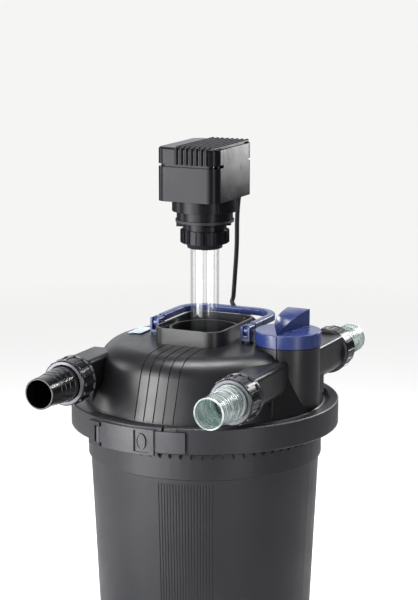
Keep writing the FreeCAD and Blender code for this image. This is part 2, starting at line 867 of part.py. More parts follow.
def foam_ring(index):
    bottom = foam_bottom + 1.2 + index * foam_pitch
    body = ring(foam_radius, foam_hole, bottom, bottom + foam_height)
    holes = [disc(10.0, bottom - 1, bottom + foam_height + 1, side * rod_x, rod_y) for side in (-1, 1)]
    return body.cut(holes)


def pull_rod(side):
    """A rod with the clevis that carries the handle, and collars that grip the plate."""
    x = side * rod_x
    plate_top = lower_plate_bottom + plate_thickness
    rod = disc(rod_radius, lower_plate_bottom - 4.0, ring_top + 90.0, x, rod_y)
    low_collar = disc(9.0, lower_plate_bottom - 4.0, lower_plate_bottom - 0.1, x, rod_y)
    high_collar = disc(9.0, plate_top + 0.1, plate_top + 4.0, x, rod_y)
    head_top = ring_top + 110.0
    head = block(x - clevis_half, x + clevis_half, rod_y - 9.5, rod_y + 9.5, ring_top + 88.0, head_top)
    head = softened(head, 2.5, at_height(head_top))
    slot = block(x - 3.6, x + 3.6, rod_y - 12, rod_y + 12, ring_top + 92.5, ring_top + 112.0)
    bore = x_rod(handle_pin_radius + 0.1, x - 10, x + 10, rod_y, hinge_z)
    return fuse_all([rod, low_collar, high_collar, head]).cut([slot, bore])


def handle_pins():
    pins = []
    for side in (-1, 1):
        x = side * rod_x
        pins.append(x_rod(handle_pin_radius, x - 7.6, x + 7.6, rod_y, hinge_z))
    return group(pins)


def cleaning_handle():
    """A stirrup: two arms from the clevises to a bar behind the socket."""
    outside = rounded_slab(arm_outer, bar_back - rod_y, bend_outer, bar_top - bar_depth, bar_top)
    inside = rounded_slab(arm_inner, bar_front - rod_y, bend_inner, bar_top - 20.0, bar_top + 5.0)
    hoop = softened(outside.cut(inside), 2.4, at_height(bar_top))
    hoop.translate(vec(0, rod_y, 0))
    hoop = hoop.common(block(-90, 90, rod_y + 15.0, 150, bar_top - 30.0, bar_top + 10.0))
    pieces = [hoop]
    for side in (-1, 1):
        x = side * rod_x
        eye = x_rod(7.6, x - 3.2, x + 3.2, rod_y, hinge_z)
        tongue = block(x - 3.2, x + 3.2, rod_y, rod_y + 20.0, hinge_z - 0.6, bar_top - 1.4)
        pieces += [eye, tongue]
    solid = fuse_all(pieces)
    bores = []
    for side in (-1, 1):
        x = side * rod_x
        bores.append(x_rod(handle_pin_radius + 0.1, x - 12.0, x + 12.0, rod_y, hinge_z))
    return solid.cut(bores)


# ---- UVC head ----------------------------------------------------------------------

def screw_places():
    places = []
    for x in (-37.0, 37.0):
        for y in (-51.0, 51.0):
            places.append((x, y))
    return places


def head_housing():
    body = rounded_slab(head_half_x, head_half_y, head_corner, head_bottom, head_rim)
    cheeks = rounded_slab(head_half_x, head_half_y, head_corner, head_bottom, cover_top - 2.0)
    cheeks = cheeks.common(block(-head_half_x, head_half_x, -38.0, 44.0, head_bottom, cover_top + 5))
    inner_x = head_half_x - head_wall
    inner_y = head_half_y - head_wall
    hollow = rounded_slab(inner_x, inner_y, head_corner - head_wall, head_bottom + head_wall, cover_top + 10)
    shell = fuse_all([body, cheeks]).cut(hollow)
    step_one = ring(collar_step_radius, 36.0, collar_step_bottom, head_bottom + 1.0)
    step_two = ring(neck_step_radius, 26.0, neck_step_bottom, collar_step_bottom + 4.0)
    boss = ring(30.6, 23.6, clamp_nut_bottom + 7.0, neck_step_bottom + 4.0)
    pieces = [shell, step_one, step_two, boss]
    for index in range(3):
        angle = -70.0 + 120.0 * index
        pieces.append(sector(29.0, 41.0, neck_step_bottom - 8.0, neck_step_bottom - 2.0, angle, angle + 24.0))
        pieces.append(sector(29.0, 38.0, neck_step_bottom - 2.5, neck_step_bottom + 0.5, angle, angle + 24.0))
    for x, y in screw_places():
        pieces.append(disc(5.0, head_bottom, head_rim - 1.0, x, y))
    solid = fuse_all(pieces)
    cuts = [disc(26.0, neck_step_bottom + 2.0, head_bottom + head_wall + 1.0)]
    for x, y in screw_places():
        cuts.append(disc(1.8, head_bottom - 1, head_rim + 1, x, y))
        cuts.append(disc(3.6, head_bottom - 1, head_bottom + 4.0, x, y))
    cuts.append(y_rod(6.1, head_half_y - 8.0, head_half_y + 1.0, gland_x, gland_z))
    inner = collar_step_radius - 3.0
    cuts.append(sector(inner, inner + 5.0, collar_step_bottom - 1, head_bottom - 5.0, -52.0, -40.0))
    return solid.cut(cuts)


def head_cover():
    skin = rounded_slab(head_half_x, head_half_y, head_corner, cover_bottom, cover_top)
    skin = softened(skin, 3.5, at_height(cover_top))
    notch_inner = head_half_x - head_wall - 0.4
    notch_outer = head_half_x + 1.0
    notches = [
        block(notch_inner, notch_outer, -38.4, 44.4, cover_bottom - 1, cover_top + 1),
        block(-notch_outer, -notch_inner, -38.4, 44.4, cover_bottom - 1, cover_top + 1),
    ]
    solid = skin.cut(notches)
    inner_x = head_half_x - head_wall - 0.5
    inner_y = head_half_y - head_wall - 0.5
    lip_bottom = cover_bottom - 8.0
    lip_corner = head_corner - head_wall
    lip = rounded_slab(inner_x, inner_y, lip_corner, lip_bottom, cover_bottom + 1.0)
    hollow = rounded_slab(inner_x - 2.5, inner_y - 2.5, lip_corner - 3.0, lip_bottom - 1.0, cover_top - 3.0)
    solid = fuse_all([solid, lip]).cut(hollow)
    pieces = [solid]
    fin_radius = 2.7
    fin_pitch = 7.6
    for index in range(8):
        x = -14.0 + index * fin_pitch
        top_fin = y_rod(fin_radius, -head_half_y + 3.0, head_half_y - 5.0, x, cover_top)
        pieces.append(top_fin)
        if x < head_half_x - head_corner + 2.0:
            pieces.append(disc(fin_radius, cover_bottom, cover_top, x, -head_half_y))
    for x, y in screw_places():
        pieces.append(disc(4.0, cover_bottom - 1.0, cover_top - 1.0, x, y))
    solid = fuse_all(pieces)
    holes = [disc(1.65, cover_bottom - 9.0, cover_bottom + 14.0, x, y) for x, y in screw_places()]
    corners = [disc(5.3, cover_bottom - 9.0, cover_bottom - 1.0, x, y) for x, y in screw_places()]
    return solid.cut(holes + corners)


def cover_screws():
    screws = []
    for x, y in screw_places():
        head = disc(3.3, head_bottom + 0.6, head_bottom + 3.8, x, y)
        shank = disc(1.5, head_bottom + 3.0, cover_bottom + 12.0, x, y)
        screws.append(fuse_all([head, shank]))
    return group(screws)


def ballast():
    core = rounded_slab(28.0, 36.0, 4.0, head_bottom + 20.0, head_bottom + 44.0)
    core.translate(vec(0, 2.0, 0))
    return core


def lamp_holder():
    flange = disc(25.6, neck_step_bottom + 4.2, neck_step_bottom + 8.0)
    socket = disc(17.6, neck_step_bottom - 14.0, neck_step_bottom + 6.0)
    tower = disc(14.0, neck_step_bottom + 7.0, head_bottom + 12.0)
    socket_bottom = neck_step_bottom - 15.0
    pin_holes = [disc(6.2, socket_bottom, neck_step_bottom - 4.0, side * 8.6, 0) for side in (-1, 1)]
    return fuse_all([flange, socket, tower]).cut(pin_holes)


def uvc_lamp():
    """A twin-tube lamp: two legs joined by a bridge at the bottom."""
    leg_top = neck_step_bottom - 4.4
    leg_bottom = sleeve_bottom + 34.0
    legs = [disc(6.0, leg_bottom, leg_top, side * 8.6, 0) for side in (-1, 1)]
    ends = [Part.makeSphere(6.0, vec(side * 8.6, 0, leg_bottom)) for side in (-1, 1)]
    bridge = x_rod(3.2, -8.6, 8.6, 0, leg_bottom + 6.0)
    return fuse_all(legs + ends + [bridge])


def quartz_sleeve():
    outer = disc(sleeve_radius, sleeve_bottom + sleeve_radius, sleeve_top)
    outer = outer.fuse(Part.makeSphere(sleeve_radius, vec(0, 0, sleeve_bottom + sleeve_radius)))
    bore = sleeve_radius - sleeve_glass
    inner = disc(bore, sleeve_bottom + sleeve_radius, sleeve_top + 1.0)
    inner = inner.fuse(Part.makeSphere(bore, vec(0, 0, sleeve_bottom + sleeve_radius)))
    return outer.cut(inner).removeSplitter()


def sleeve_seal():
    return Part.makeTorus(sleeve_radius + 1.75, 1.5, vec(0, 0, clamp_nut_bottom + 5.2))


def head_seal():
    """The ring that seals the head in its socket, low on the second step."""
    inner = neck_step_radius + 0.2
    return ring(inner + 1.5, inner, neck_step_bottom + 1.0, neck_step_bottom + 4.6)


def clamp_nut():
    """Ribbed nut that clamps the quartz sleeve."""
    body = turned([
        (sleeve_radius + 0.4, clamp_nut_bottom - 8.0),
        (22.6, clamp_nut_bottom - 8.0),
        (24.6, clamp_nut_bottom - 7.0),
        (26.0, clamp_nut_bottom),
        (33.0, clamp_nut_bottom),
        (33.0, clamp_nut_top),
        (31.0, clamp_nut_top),
        (31.0, clamp_nut_bottom + 3.0),
        (sleeve_radius + 0.4, clamp_nut_bottom + 3.0),
    ])
    ridges = []
    for index in range(20):
        ridge = block(32.0, clamp_nut_radius, -2.1, 2.1, clamp_nut_bottom + 1.0, clamp_nut_top - 0.6)
        ridge.rotate(vec(0, 0, 0), vec(0, 0, 1), index * 18.0)
        ridges.append(ridge)
    return fuse_all([body] + ridges)


def cable_gland():
    base = y_rod(5.9, head_half_y - 2.6, head_half_y + 1.0, gland_x, gland_z)
    cap = y_rod(7.2, head_half_y + 0.4, head_half_y + 4.5, gland_x, gland_z)
    boot = Part.makeCone(6.2, 4.6, 10.0, vec(gland_x, head_half_y + 4.0, gland_z), vec(-0.1, 1, -0.45))
    return fuse_all([base, cap, boot])


def swept(points, radius):
    curve = Part.BSplineCurve()
    curve.interpolate(points)
    path = Part.Wire([curve.toShape()])
    start = points[0]
    heading = curve.tangent(curve.FirstParameter)[0]
    profile = Part.Wire([Part.makeCircle(radius, start, heading)])
    return path.makePipeShell([profile], True, True)


def power_cord():
    """Hangs from the gland, passes behind the handle's bar and the clamp ring, and lies
    on the floor behind the tank."""
    top = gland_z - ring_top
    points = [
        vec(gland_x - 1.0, head_half_y + 16.0, top - 7.0),
        vec(13.5, 82.0, top - 40.0),
        vec(9.0, 91.0, top - 110.0),
        vec(4.0, 102.0, 148.0),
        vec(-4.0, 118.0, 121.0),
        vec(-4.0, 150.0, 101.0),
        vec(2.0, 190.0, 62.0),
        vec(8.0, 205.0, 0.0),
        vec(11.0, 206.0, -110.0),
        vec(11.0, 204.0, -230.0),
        vec(10.0, 203.0, -340.0),
        vec(6.0, 203.0, -402.0),
        vec(-10.0, 207.0, -428.0),
        vec(-36.0, 215.0, -435.4),
        vec(-66.0, 223.0, -434.4),
        vec(-95.0, 227.8, -429.6),
    ]
    for point in points:
        point.z += ring_top
    return swept(points, cord_radius)


def mains_plug():
    """A plain moulded two-pin plug, lying on the floor."""
    length = 42.0
    start = -96.5
    body = block(start - length, start, 211.0, 245.0, 0.0, 21.0)
    body = body.makeFillet(4.0, body.Edges)
    end = start - length
    pins = [x_rod(2.4, end - 19.0, end + 2.0, 228.0 + side * 9.5, 10.5) for side in (-1, 1)]
    return fuse_all([body] + pins)


# ---- Write every piece ---------------------------------------------------------------

os.makedirs("parts", exist_ok=True)

save("tank", tank())
save("tank_seal", tank_seal())
save("clamp_ring_left", clamp_ring_left())
save("clamp_ring_right", clamp_ring_right())
save("ring_hinge_pin", ring_hinge_pin())
save("latch_lever", latch_lever())
save("latch_pin", latch_pin())
save("latch_button", latch_button())

save("lid", lid())
save("lid_label", lid_label())
save("rod_seals", rod_seals())

for place, x, direction in (("inlet", -pipe_x, -1), ("drain", pipe_x, -1), ("outlet", pipe_x, 1)):
    save(place + "_union_nut", union_nut(x, direction))
    save(place + "_gasket", tail_gasket(x, direction))
save("inlet_tail", smooth_tail(-pipe_x, -1))
save("drain_tail", ringed_tail(pipe_x, -1))
save("outlet_tail", ringed_tail(pipe_x, 1))

save("selector_knob", selector_knob())
save("valve_rotor", valve_rotor())
save("rotor_seals", rotor_seals())
save("knob_screw", knob_screw())

save("uv_chamber", uv_chamber())
save("upper_press_plate", upper_press_plate())
save("lower_press_plate", lower_press_plate())
for index in range(foam_count):
    save("foam_ring_" + str(index + 1), foam_ring(index))
save("pull_rod_left", pull_rod(-1))
save("pull_rod_right", pull_rod(1))
save("handle_pins", handle_pins())
save("cleaning_handle", cleaning_handle())

save("head_housing", head_housing())
save("head_cover", head_cover())
save("cover_screws", cover_screws())
save("ballast", ballast())
save("lamp_holder", lamp_holder())
save("uvc_lamp", uvc_lamp())
save("quartz_sleeve", quartz_sleeve())
save("sleeve_seal", sleeve_seal())
save("head_seal", head_seal())
save("clamp_nut", clamp_nut())
save("cable_gland", cable_gland())
save("power_cord", power_cord())
save("mains_plug", mains_plug())
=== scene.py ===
import bmesh
import bpy
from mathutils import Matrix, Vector


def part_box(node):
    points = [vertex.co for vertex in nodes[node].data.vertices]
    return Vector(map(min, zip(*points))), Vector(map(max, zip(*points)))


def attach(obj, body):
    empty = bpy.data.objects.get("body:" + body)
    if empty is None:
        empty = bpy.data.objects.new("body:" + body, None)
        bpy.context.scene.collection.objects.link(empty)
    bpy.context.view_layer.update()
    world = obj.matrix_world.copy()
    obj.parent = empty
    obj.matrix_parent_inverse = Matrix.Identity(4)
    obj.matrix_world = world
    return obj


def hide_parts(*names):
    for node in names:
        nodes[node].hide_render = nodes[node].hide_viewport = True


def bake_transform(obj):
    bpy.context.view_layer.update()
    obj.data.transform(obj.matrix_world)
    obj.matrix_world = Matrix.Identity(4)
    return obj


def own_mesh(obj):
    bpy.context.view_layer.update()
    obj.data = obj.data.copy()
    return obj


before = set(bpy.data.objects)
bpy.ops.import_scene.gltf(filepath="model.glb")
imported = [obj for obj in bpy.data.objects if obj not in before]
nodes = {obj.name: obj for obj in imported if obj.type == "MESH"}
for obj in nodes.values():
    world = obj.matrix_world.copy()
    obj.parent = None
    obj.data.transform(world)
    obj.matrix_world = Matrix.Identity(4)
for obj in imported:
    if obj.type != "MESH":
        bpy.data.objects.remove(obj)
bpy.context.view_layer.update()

MM = 0.001
THIN_EDGE = 0.3 * MM
STICKER_EDGE = 0.2 * MM
RING_PITCH = 4.8 * MM
# Band round the drain tail's mouth where a painted highlight turns the lip white.
LIP_HIGHLIGHT_START = 2.6 * MM
LIP_HIGHLIGHT_FULL = 1.2 * MM
FOAM_VOXEL = 4.2 * MM
CORD_RADIUS = 3.3 * MM
FLOOR_RADIUS = 34.0
FLOOR_NEAR = 0.8
FLOOR_FAR = 3.2
ROOM_LIGHT = 0.05
WALL_LIGHT = 0.95
# How the pale wall behind the filter fades into the dim room.
WALL_FADE = (("From Min", 0.72), ("From Max", 0.98),
             ("To Min", ROOM_LIGHT), ("To Max", WALL_LIGHT))
# A light panel's brightness from its middle to its corners.
PANEL_FADE = (("From Min", 0.10), ("From Max", 0.62), ("To Min", 1.6), ("To Max", 0.12))
BACK_WALL = Vector((-0.42, 0.90, 0.10)).normalized()
FILTER_CENTRE = (0.0, 0.0, 0.5)
HEAD_CENTRE = (0.0, 0.0, 0.74)
CAMERA_PLACE = (1.17679, -2.48875, 1.12918)
CAMERA_AIM = Vector((-0.41726, 0.88733, -0.19632))
CAMERA_LENS = 119.24


# ---- Material graphs ------------------------------------------------------------------

class Graph:
    """A material's node tree, built top down. Sockets are passed from call to call."""

    def __init__(self, name):
        self.material = bpy.data.materials.new(name)
        self.material.use_nodes = True
        self.tree = self.material.node_tree
        self.tree.nodes.clear()

    def add(self, kind, inputs=None, **settings):
        node = self.tree.nodes.new(kind)
        for key, value in settings.items():
            setattr(node, key, value)
        for key, value in (inputs or {}).items():
            self.feed(node.inputs[key], value)
        return node

    def feed(self, socket, value):
        if isinstance(value, bpy.types.NodeSocket):
            self.tree.links.new(value, socket)
        elif socket.type == "RGBA" and len(value) == 3:
            socket.default_value = tuple(value) + (1.0,)
        else:
            socket.default_value = value

    def place(self, stretch=(1, 1, 1)):
        coords = self.add("ShaderNodeTexCoord").outputs["Object"]
        return self.add("ShaderNodeMapping", {"Vector": coords, "Scale": stretch}).outputs[0]

    def noise(self, scale, detail=2.0, stretch=(1, 1, 1), rough=0.5):
        return self.add("ShaderNodeTexNoise", {"Vector": self.place(stretch), "Scale": scale,
                                               "Detail": detail, "Roughness": rough}).outputs[0]

    def ramp(self, value, low, high, low_out=0.0, high_out=1.0):
        return self.add("ShaderNodeMapRange", {"Value": value, "From Min": low, "From Max": high,
                                               "To Min": low_out, "To Max": high_out},
                        clamp=True).outputs[0]

    def maths(self, operation, a, b=0.0):
        return self.add("ShaderNodeMath", {0: a, 1: b}, operation=operation).outputs[0]

    def blend(self, share, a, b):
        node = self.add("ShaderNodeMix", data_type="RGBA")
        self.feed(node.inputs[0], share)
        self.feed(node.inputs[6], a)
        self.feed(node.inputs[7], b)
        return node.outputs[2]

    def bump(self, height, distance, strength=1.0, normal=None):
        inputs = {"Height": height, "Distance": distance, "Strength": strength}
        if normal is not None:
            inputs["Normal"] = normal
        return self.add("ShaderNodeBump", inputs).outputs[0]

    def rounded(self, radius):
        """Normals rounded off at sharp edges, and a mask that is 1 along them."""
        soft = self.add("ShaderNodeBevel", {"Radius": radius}, samples=4).outputs[0]
        flat = self.add("ShaderNodeNewGeometry").outputs["Normal"]
        dot = self.add("ShaderNodeVectorMath", {0: soft, 1: flat}, operation="DOT_PRODUCT")
        return soft, self.ramp(dot.outputs["Value"], 0.985, 0.86)

    def grazing(self, power):
        """0 where the surface faces the viewer, 1 at its silhouette, from either side."""
        facing = self.add("ShaderNodeLayerWeight", {"Blend": 0.5}).outputs["Facing"]
        return self.maths("POWER", facing, power)

    def finish(self, shader):
        self.add("ShaderNodeOutputMaterial", {"Surface": shader})
        return self.material


def moulded(name, deep, pale, roughness, grain=0.9, grain_depth=0.03, coat=0.0, wear_and_edge_highlight=0.35,
            edge=0.7, streak=0.0, spread=0.06, specular=0.5, sink=0.12, end_face_highlight=None):
    """Moulded plastic: fine grain, tone drift, handling marks, and paler edges that are partly wear and
    partly a painted edge highlight; flat end faces can take a lighter colour that is a painted
    highlight.
    """
    g = Graph(name)
    drift = g.ramp(g.noise(7.0, 3.0), 0.3, 0.7)
    colour = g.blend(drift, deep, pale)
    # Faces whose normal runs along Y get a lighter colour: a painted highlight on the flat end faces.
    if end_face_highlight:
        normal = g.add("ShaderNodeNewGeometry").outputs["Normal"]
        lengthwise = g.add("ShaderNodeSeparateXYZ", {0: normal}).outputs["Y"]
        end_highlight_mask = g.ramp(g.maths("ABSOLUTE", lengthwise), 0.90, 0.98)
        colour = g.blend(end_highlight_mask, colour, end_face_highlight)
    soft, mask = g.rounded(edge * MM)
    # Paler colour along sharp edges: partly handling wear, partly a painted edge highlight.
    edge_rub_and_highlight = g.maths("MULTIPLY", mask, g.ramp(g.noise(160.0, 4.0), 0.36, 0.62))
    worn_and_highlight_edge = tuple(min(1.0, 2.2 * c + 0.035) for c in pale)
    colour = g.blend(g.maths("MULTIPLY", edge_rub_and_highlight, wear_and_edge_highlight), colour, worn_and_highlight_edge)
    smudge = g.ramp(g.noise(22.0, 5.0, rough=0.62), 0.35, 0.75, -spread, spread)
    rough = g.maths("ADD", smudge, roughness)
    rough = g.maths("ADD", rough, g.maths("MULTIPLY", edge_rub_and_highlight, 0.12))
    if streak:
        lines = g.ramp(g.noise(90.0, 3.0, (6, 6, 0.4)), 0.45, 0.7, 0.0, streak)
        rough = g.maths("ADD", rough, lines)
    sinks = g.bump(g.noise(42.0, 1.0), sink * MM, 1.0, soft)
    grains = g.noise(1.0 / (grain * MM), 3.0)
    normal = g.bump(grains, grain_depth * MM, 1.0, sinks)
    shader = g.add("ShaderNodeBsdfPrincipled", {
        "Base Color": colour, "Roughness": rough, "Normal": normal,
        "Specular IOR Level": specular, "Coat Weight": coat, "Coat Roughness": 0.14,
    })
    return g.finish(shader.outputs[0])


def brushed_metal(name, colour, roughness):
    """Metal with fine brushing lines around the vertical axis."""
    g = Graph(name)
    lines = g.noise(220.0, 4.0, (1, 1, 18))
    tone = g.blend(g.ramp(lines, 0.3, 0.7), colour, tuple(0.72 * c for c in colour))
    soft = g.rounded(THIN_EDGE)[0]
    rough = g.maths("ADD", g.ramp(lines, 0.2, 0.8, -0.07, 0.09), roughness)
    shader = g.add("ShaderNodeBsdfPrincipled", {
        "Base Color": tone, "Metallic": 1.0, "Roughness": rough,
        "Normal": g.bump(lines, 0.01 * MM, 1.0, soft),
    })
    return g.finish(shader.outputs[0])


def rubber(name, deep, pale, roughness=0.55):
    """Dull black rubber with patches of dust."""
    g = Graph(name)
    dust = g.ramp(g.noise(55.0, 5.0, rough=0.65), 0.42, 0.72)
    colour = g.blend(dust, deep, pale)
    height = g.noise(1500.0, 2.0)
    soft = g.rounded(THIN_EDGE)[0]
    rough = g.maths("ADD", g.ramp(g.noise(35.0, 4.0), 0.3, 0.7, -0.08, 0.1), roughness)
    shader = g.add("ShaderNodeBsdfPrincipled", {
        "Base Color": colour, "Roughness": rough, "Specular IOR Level": 0.4,
        "Normal": g.bump(height, 0.03 * MM, 1.0, soft),
    })
    return g.finish(shader.outputs[0])


def clear_shell(name, tint, reflect=0.7, haze=0.12, milk=(0.9, 0.93, 0.92), edge_shade=0.35):
    """Thin clear wall: seen through face on, reflecting and tinted at grazing angles."""
    g = Graph(name)
    film = g.ramp(g.noise(38.0, 4.0), 0.35, 0.75, 0.0, haze)
    rim = g.grazing(4.0)
    through = g.blend(g.maths("MULTIPLY", rim, edge_shade), (1.0, 1.0, 1.0), tint)
    clear = g.add("ShaderNodeBsdfTransparent", {"Color": through})
    body = g.add("ShaderNodeBsdfPrincipled", {
        "Base Color": milk, "Roughness": 0.18, "Coat Weight": 0.6, "Coat Roughness": 0.04,
    })
    gloss = g.add("ShaderNodeBsdfGlossy", {
        "Roughness": g.ramp(g.noise(60.0, 3.0), 0.3, 0.7, 0.03, 0.09),
        "Normal": g.bump(g.noise(26.0, 2.0, (1, 1, 0.3)), 0.2 * MM, 0.5),
    })
    share = g.maths("ADD", film, g.maths("MULTIPLY", rim, haze * 2.0))
    base = g.add("ShaderNodeMixShader", {0: share, 1: clear.outputs[0], 2: body.outputs[0]})
    share = g.ramp(g.grazing(5.0), 0.0, 1.0, 0.035, reflect)
    shader = g.add("ShaderNodeMixShader", {0: share, 1: base.outputs[0], 2: gloss.outputs[0]})
    return g.finish(shader.outputs[0])


def ringed_plastic(name):
    """Clear moulded hose tail with a sea-green tint: painted white glints, a painted white sheen toward
    the silhouette, a painted highlight round the mouth lip, and dark sea-green lines along the fine
    rings painted as the shade of their ridges.
    """
    g = Graph(name)
    along = g.add("ShaderNodeSeparateXYZ", {0: g.place()}).outputs["Y"]
    wander = g.ramp(g.noise(45.0, 3.0), 0.3, 0.7, -0.3 * MM, 0.3 * MM)
    turns = g.maths("DIVIDE", g.maths("ADD", along, wander), RING_PITCH)
    wave = g.maths("PINGPONG", turns, 0.5)
    # Dark sea-green lines along the rings: painted shade of the ring ridges, in the tail's tint.
    line = g.ramp(wave, 0.20, 0.06)
    ridge = g.ramp(wave, 0.2, 0.42)
    # White patches in the milky body: painted glints.
    painted_glints = g.ramp(g.noise(60.0, 4.0, (0.6, 3.0, 0.6), rough=0.6), 0.44, 0.64)
    mouth = -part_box("drain_tail")[0].y
    # The mouth lip turns milky white: a painted highlight.
    painted_lip_highlight = g.ramp(g.maths("ABSOLUTE", along), mouth - LIP_HIGHLIGHT_START, mouth - LIP_HIGHLIGHT_FULL)
    through = g.blend(line, (0.95, 0.99, 0.98), (0.18, 0.42, 0.36))
    clear = g.add("ShaderNodeBsdfTransparent", {"Color": through})
    milk = g.blend(line, (0.93, 0.97, 0.97), (0.01, 0.10, 0.08))
    normal = g.bump(g.maths("ADD", ridge, g.noise(120.0, 2.0)), 0.24 * MM, 0.6)
    body = g.add("ShaderNodeBsdfPrincipled", {
        "Base Color": milk, "Roughness": 0.12, "Coat Weight": 1.0, "Coat Roughness": 0.04,
        "Normal": normal, "Coat Normal": normal,
    })
    share = g.maths("ADD", g.maths("MULTIPLY", ridge, 0.10), g.maths("MULTIPLY", painted_glints, 0.55))
    # More milky white toward the silhouette: a painted white sheen.
    share = g.maths("ADD", share, g.ramp(g.grazing(2.0), 0.0, 1.0, 0.03, 0.5))
    share = g.maths("MINIMUM", g.maths("ADD", share, g.maths("MULTIPLY", painted_lip_highlight, 0.7)), 0.95)
    base = g.add("ShaderNodeMixShader", {0: share, 1: clear.outputs[0], 2: body.outputs[0]})
    gloss = g.add("ShaderNodeBsdfGlossy", {"Roughness": 0.06, "Normal": normal})
    mirror = g.ramp(g.grazing(4.0), 0.0, 1.0, 0.10, 0.7)
    shader = g.add("ShaderNodeMixShader", {0: mirror, 1: base.outputs[0], 2: gloss.outputs[0]})
    return g.finish(shader.outputs[0])


def foam_material(name, deep, pale):
    """Open-cell filter foam: painted shade in its pores, and patches of silt."""
    g = Graph(name)
    cells = g.add("ShaderNodeTexVoronoi", {"Vector": g.place(), "Scale": 420.0}).outputs["Distance"]
    # Darker cell centres: painted shade inside the pores.
    pore_shade = g.ramp(cells, 0.1, 0.55)
    silt = g.ramp(g.noise(12.0, 5.0), 0.4, 0.75)
    colour = g.blend(pore_shade, tuple(0.25 * c for c in deep), deep)
    colour = g.blend(silt, colour, pale)
    shader = g.add("ShaderNodeBsdfPrincipled", {
        "Base Color": colour, "Roughness": 0.95, "Specular IOR Level": 0.1,
        "Normal": g.bump(cells, 1.2 * MM),
    })
    return g.finish(shader.outputs[0])


def label_material(name):
    """A blank sticker: satin film with faint dividing lines and a slight sheen drift."""
    g = Graph(name)
    low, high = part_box("lid_label")
    split = g.add("ShaderNodeSeparateXYZ", {0: g.add("ShaderNodeTexCoord").outputs["Object"]})
    band = g.ramp(split.outputs["Y"], low.y, high.y)
    colour = g.blend(band, (0.40, 0.50, 0.56), (0.56, 0.65, 0.70))
    line = g.maths("PINGPONG", g.maths("MULTIPLY", band, 4.0), 1.0)
    colour = g.blend(g.ramp(line, 0.04, 0.0, 0.0, 0.5), colour, (0.35, 0.48, 0.55))
    soft = g.rounded(STICKER_EDGE)[0]
    shader = g.add("ShaderNodeBsdfPrincipled", {
        "Base Color": colour, "Roughness": g.ramp(g.noise(50.0, 3.0), 0.3, 0.7, 0.22, 0.34),
        "Normal": g.bump(g.noise(500.0, 2.0), 0.02 * MM, 1.0, soft),
    })
    return g.finish(shader.outputs[0])


looks = {
    "tank": moulded("tank_plastic", (0.009, 0.009, 0.011), (0.015, 0.015, 0.018), 0.37, streak=0.05),
    "lid": moulded("lid_plastic", (0.008, 0.008, 0.009), (0.014, 0.014, 0.016), 0.34, grain=1.1,
                   grain_depth=0.030, edge=0.35, wear_and_edge_highlight=0.15, sink=0.05),
    "ring": moulded("ring_plastic", (0.013, 0.013, 0.015), (0.021, 0.021, 0.025), 0.36, streak=0.04),
    "latch": moulded("latch_plastic", (0.022, 0.022, 0.026), (0.034, 0.034, 0.040), 0.31, specular=0.6),
    "inner": moulded("inner_plastic", (0.010, 0.010, 0.011), (0.018, 0.018, 0.020), 0.5),
    "nut": moulded("nut_plastic", (0.004, 0.004, 0.005), (0.009, 0.009, 0.011), 0.20, coat=0.15,
                   grain_depth=0.012, specular=0.42, sink=0.03, end_face_highlight=(0.16, 0.16, 0.19)),
    "tail": moulded("tail_plastic", (0.004, 0.004, 0.005), (0.008, 0.008, 0.010), 0.17, coat=0.3,
                    grain_depth=0.006, sink=0.01),
    "blue": moulded("blue_plastic", (0.016, 0.029, 0.125), (0.024, 0.042, 0.175), 0.30, coat=0.2,
                    grain_depth=0.02, wear_and_edge_highlight=0.2, edge=1.7),
    "head": moulded("head_plastic", (0.005, 0.005, 0.007), (0.010, 0.010, 0.013), 0.25, coat=0.05,
                    grain_depth=0.008, wear_and_edge_highlight=0.25, spread=0.07, specular=0.11, sink=0.2),
    "lamp_base": moulded("lamp_base", (0.62, 0.61, 0.57), (0.74, 0.73, 0.69), 0.35, wear_and_edge_highlight=0.1),
    "ballast": moulded("ballast_case", (0.13, 0.13, 0.13), (0.19, 0.19, 0.19), 0.6),
    "steel": brushed_metal("steel", (0.62, 0.62, 0.63), 0.27),
    "seal": rubber("seal_rubber", (0.010, 0.010, 0.010), (0.030, 0.030, 0.030)),
    "cord": rubber("cord_rubber", (0.010, 0.010, 0.011), (0.022, 0.022, 0.024), 0.42),
    "drain": ringed_plastic("clear_plastic"),
    "quartz": clear_shell("quartz", (0.62, 0.66, 0.68), haze=0.015, edge_shade=0.8),
    "lamp_glass": clear_shell("lamp_glass", (0.72, 0.75, 0.77), haze=0.03, edge_shade=0.6),
    "foam": foam_material("foam", (0.05, 0.09, 0.26), (0.10, 0.11, 0.12)),
    "label": label_material("label"),
}

LOOK_OF = {
    "tank": ["tank"],
    "lid": ["lid"],
    "ring": ["clamp_ring_left", "clamp_ring_right"],
    "latch": ["latch_lever", "latch_button"],
    "inner": ["uv_chamber", "upper_press_plate", "lower_press_plate", "valve_rotor"],
    "nut": ["inlet_union_nut", "drain_union_nut", "outlet_union_nut"],
    "tail": ["inlet_tail"],
    "blue": ["selector_knob", "cleaning_handle", "pull_rod_left", "pull_rod_right"],
    "head": ["head_housing", "head_cover", "clamp_nut", "cable_gland"],
    "lamp_base": ["lamp_holder"],
    "ballast": ["ballast"],
    "steel": ["ring_hinge_pin", "latch_pin", "handle_pins", "cover_screws", "knob_screw"],
    "seal": ["tank_seal", "rod_seals", "rotor_seals", "sleeve_seal", "head_seal",
             "inlet_gasket", "drain_gasket", "outlet_gasket"],
    "cord": ["mains_plug"],
    "drain": ["drain_tail", "outlet_tail"],
    "quartz": ["quartz_sleeve"],
    "lamp_glass": ["uvc_lamp"],
    "label": ["lid_label"],
}


def dress(obj, look):
    obj.data.materials.clear()
    obj.data.materials.append(looks[look])


for look, names in LOOK_OF.items():
    for name in names:
        dress(nodes[name], look)


# ---- Pieces built here ------------------------------------------------------------------

